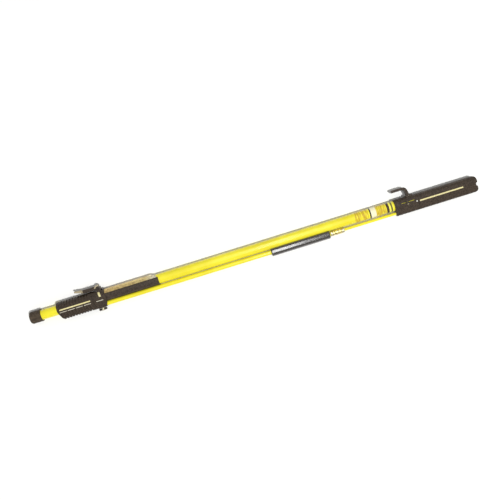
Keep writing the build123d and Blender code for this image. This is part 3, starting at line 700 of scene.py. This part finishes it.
@dataclass
class Workshop:
    """Turns finished meshes into pieces on their bodies, and keeps the materials."""

    finishes: dict[Slot, Finish]
    materials: dict[Slot, bpy.types.Material] = field(default_factory=dict)
    smooth_angle: float = 34.0

    def paint(self, slot: Slot) -> bpy.types.Material:
        """Returns a slot's material, made the first time it is asked for."""
        if slot not in self.materials:
            self.materials[slot] = self.finishes[slot].build()
        return self.materials[slot]

    def piece(self, name: str, form: bmesh.types.BMesh, body: str, slot: Slot, node: str) -> None:
        """Makes an object from a mesh and fixes it to its body.

        Args:
            name: The piece's name.
            form: Its mesh, already in place; it is freed.
            body: CAD body that it rides on.
            slot: Material slot that it takes its finish from.
            node: CAD node that it replaces.
        """
        mesh = bpy.data.meshes.new(name)
        form.to_mesh(mesh)
        form.free()
        mesh.materials.append(self.paint(slot))
        mesh.shade_smooth()
        mesh.set_sharp_from_angle(angle=math.radians(self.smooth_angle))
        thing = bpy.data.objects.new(name, mesh)
        bpy.context.scene.collection.objects.link(thing)
        weighted = thing.modifiers.new("weighted", "WEIGHTED_NORMAL")
        weighted.keep_sharp = True
        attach(thing, body)
        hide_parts(node)
        LOG.info("%s: %d faces on %s", name, len(mesh.polygons), body)

    def mould(
        self, name: str, node: str, body: str, slot: Slot, edge: float, segments: int = 2
    ) -> None:
        """Makes a piece from a CAD node's exact shape, with its edges broken.

        Args:
            name: The piece's name.
            node: CAD node that it copies and replaces.
            body: CAD body that it rides on.
            slot: Material slot that it takes its finish from.
            edge: Width of the broken edges, in metres.
            segments: Steps across each broken edge.
        """
        self.piece(name, copy_of(node, edge, segments), body, slot, node)

    def dress(self, node: str, slot: Slot) -> None:
        """Gives a CAD node that stays as it is its finish."""
        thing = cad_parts[node]
        thing.data.materials.clear()
        thing.data.materials.append(self.paint(slot))
        LOG.info("%s: CAD shape in %s", node, slot.value)


# ---------------------------------------------------------------------------
# Sub-assemblies
# ---------------------------------------------------------------------------

def cross_recess(
    centre: Vector, axis: Vector, size: float, depth: float, arm_share: float = 0.24
) -> list[bmesh.types.BMesh]:
    """Makes the two cutters for a cross-head recess.

    Args:
        centre: Middle of the screw head's face.
        axis: Direction out of the head.
        size: Length of each arm of the cross.
        depth: How far it goes in.
        arm_share: Width of each arm as a share of its length.

    Returns:
        The cutters, one for each arm.
    """
    turn = axis.to_track_quat("Z", "Y").to_matrix().to_4x4()
    width = size * arm_share
    arms = []
    for long_side, short_side in ((size, width), (width, size)):
        arm = block(Vector((-long_side / 2, -short_side / 2, -depth)),
                    Vector((long_side / 2, short_side / 2, depth)))
        bmesh.ops.transform(arm, matrix=Matrix.Translation(centre) @ turn, verts=arm.verts)
        arms.append(arm)
    return arms


@dataclass(frozen=True)
class DomedScrew:
    """A low domed screw head with a cross recess, by shares of its radius and height."""

    rim_height: float = 0.35
    shoulder_height: float = 0.8
    shoulder_radius: float = 0.72
    crown_radius: float = 0.35
    recess_size: float = 1.15
    recess_depth: float = 0.75

    def head(self, centre: Vector, axis: Vector, radius: float, height: float) -> bmesh.types.BMesh:
        """Turns the head and cuts its recess.

        Args:
            centre: Middle of the head's underside.
            axis: Direction out of the head.
            radius: Radius of the head.
            height: Height of the dome.

        Returns:
            The head's mesh.
        """
        profile = [(0.0, 0.0), (0.0, radius), (height * self.rim_height, radius),
                   (height * self.shoulder_height, radius * self.shoulder_radius),
                   (height, radius * self.crown_radius), (height, 0.0)]
        form = lathe(profile, centre, axis, steps=40)
        for arm in cross_recess(centre + axis * height, axis, radius * self.recess_size,
                                height * self.recess_depth):
            form = carve(form, arm)
        return form


@dataclass
class PoleShaft:
    """The outer tube with its rubber cap, its printed film and the bush in its front end."""

    shop: Workshop
    wall: float = mm(1.3)
    cut_edge: float = mm(0.3)
    film_wall: float = mm(0.3)
    cap_crown: float = mm(6.0)
    crown_steps: int = 8
    cap_floor: float = mm(4.0)
    cap_edge: float = mm(0.25)
    cap_edge_angle: float = 40.0
    cap_rings: int = 4
    first_ring: float = mm(4.0)
    ring_pitch: float = mm(4.2)
    ring_depth: float = mm(0.7)
    ring_flank: float = mm(0.5)
    ring_floor: float = mm(0.8)

    def tube(self) -> None:
        """Draws the outer tube, its cut ends lightly rounded."""
        form = pipe("outer_tube", self.wall, on_axis("outer_tube"), steps=128)
        soften(form, self.cut_edge)
        self.shop.piece("pole_tube", form, "shaft", Slot.YELLOW, "outer_tube")

    def cap(self) -> None:
        """Moulds the butt cap: a crowned end and four grip rings."""
        radius = radius_of("butt_cap")
        shoulder = radius - self.cap_crown
        profile = [(0.0, 0.0), (0.0, shoulder)]
        profile += [(along, shoulder + out)
                    for along, out in quarter_round(self.cap_crown, self.crown_steps)]
        for k in range(self.cap_rings):
            front = self.cap_crown + self.first_ring + k * self.ring_pitch
            floor = front + self.ring_flank
            back = floor + self.ring_floor
            profile += [(front, radius), (floor, radius - self.ring_depth),
                        (back, radius - self.ring_depth), (back + self.ring_flank, radius)]
        length, bore = length_of("butt_cap"), radius_of("outer_tube")
        profile += [(length, radius), (length, bore), (self.cap_floor, bore), (self.cap_floor, 0.0)]
        form = lathe(profile, on_axis("butt_cap"), X_AXIS, steps=96)
        soften(form, self.cap_edge, angle=self.cap_edge_angle)
        self.shop.piece("rubber_cap", form, "shaft", Slot.RUBBER, "butt_cap")

    def film(self) -> None:
        """Wraps the printed film round the tube."""
        form = pipe("label_sleeve", self.film_wall, on_axis("label_sleeve"), steps=128)
        self.shop.piece("printed_film", form, "shaft", Slot.FILM, "label_sleeve")

    def bush(self) -> None:
        """Turns the bush in the tube's front end, with the lip that stands out of it."""
        start = on_axis("front_bush")
        liner = radius_of("outer_tube") - self.wall
        lip = box_of("outer_tube")[1].x - start.x
        length, outer = length_of("front_bush"), radius_of("front_bush")
        bore = radius_of("inner_tube") + RUNNING_GAP
        profile = [(0.0, liner), (lip, liner), (lip, outer), (length, outer), (length, bore),
                   (0.0, bore)]
        form = lathe(profile, start, X_AXIS, steps=96, wall=True)
        soften(form, self.cut_edge)
        self.shop.piece("turned_front_bush", form, "shaft", Slot.NYLON, "front_bush")

    def build(self) -> None:
        """Builds the shaft."""
        self.tube()
        self.cap()
        self.film()
        self.bush()


@dataclass
class HookEnd:
    """The collar at the top of the outer tube, with the hanging hook."""

    shop: Workshop
    mould_edge: float = mm(0.6)
    hook_edge: float = mm(2.0)
    screw_edge: float = mm(0.3)
    rivet_edge: float = mm(0.25)
    pin_dome: float = mm(0.5)
    pin_face: float = 0.6

    def mouldings(self) -> None:
        """Moulds the collar with broken edges, and the hook with full round ones."""
        self.shop.mould("hook_collar_moulding", "hook_collar", "shaft", Slot.BLACK, self.mould_edge)
        self.shop.mould("hook_moulding", "hanging_hook", "shaft", Slot.BLACK, self.hook_edge, 4)

    def fasteners(self) -> None:
        """Adds the hook's pin, the pinch screw and the rivets."""
        low, high = box_of("hook_pin")
        radius, length = (high.x - low.x) / 2, high.z - low.z
        face = radius * self.pin_face
        profile = [(0, 0), (0, face), (self.pin_dome, radius), (length - self.pin_dome, radius),
                   (length, face), (length, 0)]
        foot = Vector(((low.x + high.x) / 2, (low.y + high.y) / 2, low.z))
        self.shop.piece("hook_cross_pin", lathe(profile, foot, Z_AXIS, steps=32), "shaft",
                        Slot.STEEL, "hook_pin")
        self.shop.mould("pinch_screw", "collar_screw", "shaft", Slot.STEEL, self.screw_edge)
        self.shop.mould("drive_rivets", "collar_rivets", "shaft", Slot.WHITE, self.rivet_edge)

    def build(self) -> None:
        """Builds the hook end."""
        self.mouldings()
        self.fasteners()
        self.shop.dress("rod_bush", Slot.NYLON)


@dataclass
class SlidingHead:
    """The head that pulls out, with its inner tube and guide rod."""

    shop: Workshop
    tube_wall: float = mm(1.2)
    cut_edge: float = mm(0.25)
    mould_edge: float = mm(0.6)
    key_edge: float = mm(0.4)
    screw_height: float = mm(1.2)

    def tubes(self) -> None:
        """Draws the inner tube and the guide rod."""
        form = pipe("inner_tube", self.tube_wall, on_axis("inner_tube"), steps=112)
        soften(form, self.cut_edge)
        self.shop.piece("inner_pole_tube", form, "head", Slot.INNER, "inner_tube")
        radius, length = radius_of("guide_rod"), length_of("guide_rod")
        profile = [(0, 0), (0, radius), (length, radius), (length, 0)]
        form = lathe(profile, beside_axis("guide_rod"), X_AXIS, steps=48)
        self.shop.piece("guide_rod_bar", form, "head", Slot.ROD, "guide_rod")

    def screws(self) -> None:
        """Adds the two set screws at the back."""
        low, high = box_of("head_screws")
        radius = radius_of("head_screws")
        screw = DomedScrew()
        heads = [
            screw.head(Vector((x, 0, low.z + self.screw_height)), -Z_AXIS, radius, self.screw_height)
            for x in (low.x + radius, high.x - radius)
        ]
        self.shop.piece("shell_screws", join(heads), "head", Slot.STEEL, "head_screws")

    def build(self) -> None:
        """Builds the head: its tubes, its shell, the screws and the pale key, painted light for the
        lit tube in the slit.
        """
        self.tubes()
        self.shop.mould("head_moulding", "head_shell", "head", Slot.BLACK, self.mould_edge)
        self.screws()
        # The key's pale colour is painted light: it stands for the lit inner tube seen through the
        # slit.
        self.shop.mould("slit_key_painted_lit_tube", "head_key", "head", Slot.PALE, self.key_edge, 3)
        for node, slot in (("socket_liner", Slot.NYLON), ("inner_bush", Slot.NYLON),
                           ("rod_tip", Slot.NYLON), ("rod_pin", Slot.STEEL)):
            self.shop.dress(node, slot)


@dataclass
class RibbedHandle:
    """The two ribbed handle halves with their pale inlays, a painted highlight, and screws."""

    shop: Workshop
    rib_edge: float = mm(0.35)
    inlay_edge: float = mm(0.15)
    screw_edge: float = mm(0.15)
    face_depth: float = mm(0.2)
    recess_size: float = mm(2.8)
    recess_depth: float = mm(0.9)

    def screws(self) -> None:
        """Cuts a cross recess in the face of each of the four screws at the back."""
        low, high = box_of("handle_screws")
        middle = (low + high) / 2
        form = copy_of("handle_screws", self.screw_edge)
        quarters: dict[tuple[bool, bool], list[Vector]] = {}
        for vert in form.verts:
            quarter = (vert.co.x > middle.x, vert.co.y > middle.y)
            quarters.setdefault(quarter, []).append(vert.co.copy())
        for points in quarters.values():
            face_z = min(point.z for point in points)
            face = [point for point in points if point.z < face_z + self.face_depth]
            centre = sum(face, Vector()) / len(face)
            centre.z = face_z
            for arm in cross_recess(centre, -Z_AXIS, self.recess_size, self.recess_depth):
                form = carve(form, arm)
        self.shop.piece("cross_head_screws", form, "handle", Slot.STEEL, "handle_screws")

    def build(self) -> None:
        """Builds the handle: both halves, the inlays (a painted highlight), the screws and the slot's
        pale key (painted light).
        """
        for half in ("front", "back"):
            self.shop.mould(f"handle_{half}_moulding", f"handle_{half}", "handle", Slot.BLACK,
                            self.rib_edge)
        # The pale inlay strips along the front stand for a highlight there: a painted highlight.
        self.shop.mould("inlay_strips_painted_highlight", "index_strips", "handle", Slot.GREY, self.inlay_edge)
        self.screws()
        # The key's pale colour is painted light: it stands for the lit yellow tube seen through the
        # slot.
        self.shop.mould("slot_key_painted_lit_tube", "handle_key", "handle", Slot.PALE, self.rib_edge, 3)


@dataclass
class Clamp:
    """The clamp collar with its cam lever and the thumbscrew below it."""

    shop: Workshop
    mould_edge: float = mm(0.6)
    pin_edge: float = mm(0.4)
    small_edge: float = mm(0.3)
    lever_edge: float = mm(0.8)
    tab_edge: float = mm(0.9)
    tab_slope: float = 0.144
    grooves: int = 6
    first_groove: float = mm(3.2)
    groove_pitch: float = mm(2.3)
    groove_width: float = mm(1.0)
    groove_depth: float = mm(0.9)
    groove_margin: float = mm(2.5)
    groove_edge: float = mm(0.25)
    cutter_headroom: float = mm(2.0)
    bar_waist: float = mm(1.7)
    bar_grip: float = 0.30
    bar_taper: float = 0.06

    def collar(self) -> None:
        """Moulds the clamp collar, its pin and the pale pad in its window, painted light for the lit
        tube there.
        """
        self.shop.mould("clamp_moulding", "clamp_collar", "handle", Slot.BLACK, self.mould_edge)
        self.shop.mould("lever_axle", "lever_pin", "handle", Slot.DARK_STEEL, self.pin_edge, 3)
        # The pad's pale colour is painted light: it stands for the lit yellow tube seen through the
        # window.
        self.shop.mould("window_pad_painted_lit_tube", "clamp_pad", "handle", Slot.PALE, self.small_edge, 3)
        self.shop.dress("thumb_insert", Slot.BRASS)

    def lever(self) -> None:
        """Moulds the lever, the beige band on its hub's top, which is a painted highlight, and its
        grooved thumb tab.
        """
        self.shop.mould("lever_moulding", "cam_lever", "lever", Slot.BLACK, self.lever_edge, 3)
        # A beige sector on the top of the hub only: a painted highlight.
        self.shop.mould("hub_painted_highlight", "hub_cap", "lever", Slot.BEIGE, self.small_edge)
        low, high = box_of("lever_tab")
        tab = copy_of("lever_tab", self.tab_edge, 3)
        for k in range(self.grooves):
            x = low.x + self.first_groove + k * self.groove_pitch
            floor_y = high.y - self.groove_depth - (x - low.x) * self.tab_slope
            tab = groove_out(
                tab, Vector((x, floor_y, low.z + self.groove_margin)),
                Vector((x + self.groove_width, high.y + self.cutter_headroom,
                        high.z - self.groove_margin)),
                self.groove_edge,
            )
        self.shop.piece("thumb_tab", tab, "lever", Slot.BEIGE, "lever_tab")

    def thumbscrew(self) -> None:
        """Turns the T bar with its round ends and waist, and the thumbscrew's pale hub, a painted
        highlight.
        """
        radius, length = radius_of("thumb_bar"), length_of("thumb_bar")
        end = quarter_round(radius, 4)
        grip, waist = length * self.bar_grip, length * (self.bar_grip + self.bar_taper)
        half = [(0.0, 0.0), *end, (grip, radius), (waist, self.bar_waist)]
        profile = half + [(length - along, out) for along, out in reversed(half)]
        form = lathe(profile, beside_axis("thumb_bar"), X_AXIS, steps=48)
        self.shop.piece("t_bar", form, "thumbscrew", Slot.BLACK, "thumb_bar")
        # The pale steel hub between the black arms stands for the highlight across the knob: a
        # painted highlight.
        self.shop.mould("thumb_boss_painted_highlight", "thumb_hub", "thumbscrew", Slot.STEEL, self.small_edge)

    def build(self) -> None:
        """Builds the clamp."""
        self.collar()
        self.lever()
        self.thumbscrew()


@dataclass
class GuideSleeve:
    """The sleeve beside the clamp, with its plated saddle."""

    shop: Workshop
    mould_edge: float = mm(0.5)
    sheet_edge: float = mm(0.3)

    def build(self) -> None:
        """Builds the sleeve, the saddle and its rivets."""
        self.shop.mould("sleeve_moulding", "guide_sleeve", "handle", Slot.BLACK, self.mould_edge)
        self.shop.mould("saddle_sheet", "saddle_plate", "handle", Slot.TAN, self.sheet_edge)
        self.shop.mould("saddle_rivet_heads", "saddle_rivets", "handle", Slot.TAN,
                        self.sheet_edge, 3)


@dataclass
class GuideRail:
    """The thin rail with its grip and the brass collet at its end."""

    shop: Workshop
    wall: float = mm(0.9)
    grip_edge: float = mm(1.0)
    ring_edge: float = mm(0.3)
    sleeve_edge: float = mm(0.2)
    knurls: int = 36
    knurl_depth: float = mm(0.25)
    nut_neck: float = mm(5.0)
    nut_edge: float = mm(0.3)

    def rail(self) -> None:
        """Draws the rail tube."""
        form = pipe("rail_tube", self.wall, beside_axis("rail_tube"), steps=64)
        self.shop.piece("rail_pipe", form, "handle", Slot.YELLOW, "rail_tube")

    def collet(self) -> None:
        """Turns the brass collet and its plated end rings."""
        self.shop.mould("ferrule_ring", "rail_ferrule", "handle", Slot.STEEL, self.ring_edge)
        self.shop.mould("collet_end_ring", "collet_cap", "handle", Slot.STEEL, self.ring_edge)
        self.shop.mould("collet_sleeve", "collet_body", "handle", Slot.BRASS, self.sleeve_edge)

    def nut(self) -> None:
        """Turns the collet's nut with a groove round it, and knurls its rim."""
        start = beside_axis("collet_nut")
        outer, length = radius_of("collet_nut"), length_of("collet_nut")
        bore = radius_of("collet_body") + RUNNING_GAP
        neck, edge = self.nut_neck, self.nut_edge
        profile = [(0.0, bore), (0.0, outer - edge), (edge, outer), (neck, outer),
                   (neck + edge, outer - edge), (neck + 3 * edge, outer - edge),
                   (neck + 4 * edge, outer), (length - edge, outer), (length, outer - edge),
                   (length, bore)]
        form = lathe(profile, start, X_AXIS, steps=self.knurls * 2, wall=True)
        knurl(form, start, X_AXIS, self.knurls, outer - edge / 2, self.knurl_depth)
        self.shop.piece("knurled_nut", form, "collet", Slot.BRASS, "collet_nut")

    def build(self) -> None:
        """Builds the rail with its grip and its collet."""
        self.rail()
        self.shop.mould("dipped_grip", "rail_grip", "handle", Slot.GRIP, self.grip_edge, 3)
        self.collet()
        self.nut()


# ---------------------------------------------------------------------------
# Studio
# ---------------------------------------------------------------------------


@dataclass
class Studio:
    """A white sweep, soft light and a camera that looks straight down on the pole."""

    tilt: float = 17.22
    height: float = 1.8
    view_width: float = 1.2887
    aim: tuple[float, float] = (0.592, 0.0012)
    sensor: float = 36.0
    floor_reach: float = 6.0
    room: float = 0.415
    backdrop: float = 1.0
    key_power: float = 285.0
    key_place: tuple[float, float, float] = (1.1, -1.2, 5.8)
    key_size: float = 0.32
    strip_power: float = 27.0
    strip_place: tuple[float, float, float] = (0.16, -0.06, 2.3)
    strip_size: float = 0.26
    strip_breadth: float = 3.0

    def floor(self) -> None:
        """Lays the white floor under the lowest point of the pole."""
        form = bmesh.new()
        place = Matrix.Translation((*self.aim, CAD_BOUNDS[0][2]))
        bmesh.ops.create_grid(form, x_segments=1, y_segments=1, size=self.floor_reach, matrix=place)
        mesh = bpy.data.meshes.new("sweep")
        form.to_mesh(mesh)
        form.free()
        material = bpy.data.materials.new("matt_white_paper")
        material.use_nodes = True
        feed(material.node_tree, material.node_tree.nodes["Principled BSDF"],
             {"Base Color": linear("#FAFAF8"), "Roughness": 0.9, "Specular IOR Level": 0.1})
        mesh.materials.append(material)
        sweep = bpy.data.objects.new("sweep", mesh)
        bpy.context.scene.collection.objects.link(sweep)

    def lamp(
        self, name: str, place: Vector, size: float, power: float, breadth: float = 0.0
    ) -> bpy.types.Object:
        """Hangs one soft box: a square one faces the pole, and a long one faces the floor.

        Args:
            name: The lamp's name.
            place: Its position relative to the middle of the pole, in metres.
            size: Side of the soft box along the pole, in metres.
            power: Its power in watts.
            breadth: Side across the pole when the box is a long one.

        Returns:
            The lamp.
        """
        data = bpy.data.lights.new(name, "AREA")
        data.size = size
        data.energy = power
        lamp = bpy.data.objects.new(name, data)
        lamp.location = Vector((*self.aim, 0.0)) + place
        if breadth:
            data.shape = "RECTANGLE"
            data.size_y = breadth
        else:
            lamp.rotation_euler = (-place).to_track_quat("-Z", "Y").to_euler()
        bpy.context.scene.collection.objects.link(lamp)
        return lamp

    def light(self) -> None:
        """Fills the room with soft light and adds a far key and a strip over the grip.

        The key lights the surfaces only and the strip makes their gloss only, so the key has no
        hot spot in the gloss, and the strip casts no second shadow.
        """
        world = bpy.data.worlds.new("white_room")
        world.use_nodes = True
        tree = world.node_tree
        seen = add_node(tree, "ShaderNodeLightPath").outputs["Is Camera Ray"]
        level = add_node(tree, "ShaderNodeMapRange",
                         {"Value": seen, "To Min": self.room, "To Max": self.backdrop})
        feed(tree, tree.nodes["Background"],
             {"Color": linear("#FFFFFF"), "Strength": level.outputs["Result"]})
        bpy.context.scene.world = world
        key = self.lamp("key_soft_box", Vector(self.key_place), self.key_size, self.key_power)
        key.visible_glossy = False
        strip = self.lamp("strip_box", Vector(self.strip_place), self.strip_size,
                          self.strip_power, self.strip_breadth)
        strip.visible_diffuse = False

    def camera(self) -> None:
        """Places the camera over the pole and turns it so that the pole rises to the right."""
        data = bpy.data.cameras.new("camera")
        data.sensor_width = self.sensor
        data.lens = self.sensor * self.height / self.view_width
        camera = bpy.data.objects.new("camera", data)
        camera.location = (*self.aim, self.height)
        camera.rotation_euler = (0.0, 0.0, -math.radians(self.tilt))
        bpy.context.scene.collection.objects.link(camera)
        bpy.context.scene.camera = camera

    def build(self) -> None:
        """Builds the studio."""
        self.floor()
        self.light()
        self.camera()
        bpy.context.scene.view_settings.view_transform = "Standard"


def finishes() -> dict[Slot, Finish]:
    """Returns the finish of every slot."""
    label_low, label_high = box_of("label_sleeve")
    saddle_low, saddle_high = box_of("saddle_plate")
    return {
        Slot.YELLOW: PowderCoat("powder_coated_steel_tube", 0.34),
        Slot.INNER: PowderCoat("powder_coated_inner_tube", 0.38, colour="#F2E27A", shade="#E6D25C"),
        Slot.ROD: PowderCoat("powder_coated_rod", 0.32),
        Slot.RUBBER: Rubber("moulded_rubber", 0.8),
        Slot.BLACK: MouldedPlastic("moulded_black_nylon", 0.46),
        Slot.GRIP: GlossVinyl("dipped_vinyl", 0.2),
        # Beige: the thumb tab's own colour, and the painted highlight on the top of the lever's hub.
        Slot.BEIGE: MouldedPlastic("beige_abs_and_painted_hub_highlight", 0.5, colour="#8E8165", worn="#C2B698"),
        Slot.TAN: ChromatedZinc("chromated_zinc_sheet", 0.4, low_x=saddle_low.x,
                                high_x=saddle_high.x),
        Slot.BRASS: TurnedMetal("turned_brass", 0.26),
        Slot.STEEL: TurnedMetal("zinc_plated_steel", 0.36, colour="#E0D9BC", tarnish="#B9AF88"),
        Slot.DARK_STEEL: MouldedPlastic("black_oxide_steel", 0.4, colour="#1B1612", worn="#3A322C"),
        Slot.WHITE: MouldedPlastic("moulded_white_nylon", 0.45, colour="#E4E2DA", worn="#F0EFEA"),
        # Pale grey: the inlay strips, a painted highlight along the handle.
        Slot.GREY: MouldedPlastic("pale_grey_painted_highlight", 0.5, colour="#C9C3AE", worn="#E6E1CE"),
        Slot.FILM: PrintedFilm("printed_shrink_film", 0.35, low_x=label_low.x,
                               high_x=label_high.x),
        # Pale strips in the slits and the window: painted light standing for the lit yellow tube seen
        # through them.
        Slot.PALE: MouldedPlastic("pale_acetal_and_painted_lit_tube", 0.42, colour="#D9C987",
                                  worn="#F6EFBB"),
        Slot.NYLON: MouldedPlastic("machined_natural_nylon", 0.42, colour="#DCD7C6", worn="#E6E2D4"),
    }


def main() -> None:
    """Builds the pole's visual model and the studio round it."""
    logging.basicConfig(level=logging.INFO, format="%(name)s %(message)s")
    shop = Workshop(finishes())
    for assembly in (PoleShaft(shop), HookEnd(shop), SlidingHead(shop), RibbedHandle(shop),
                     Clamp(shop), GuideSleeve(shop), GuideRail(shop)):
        assembly.build()
        LOG.info("%s is built", type(assembly).__name__)
    Studio().build()


if __name__ == "__main__":
    main()
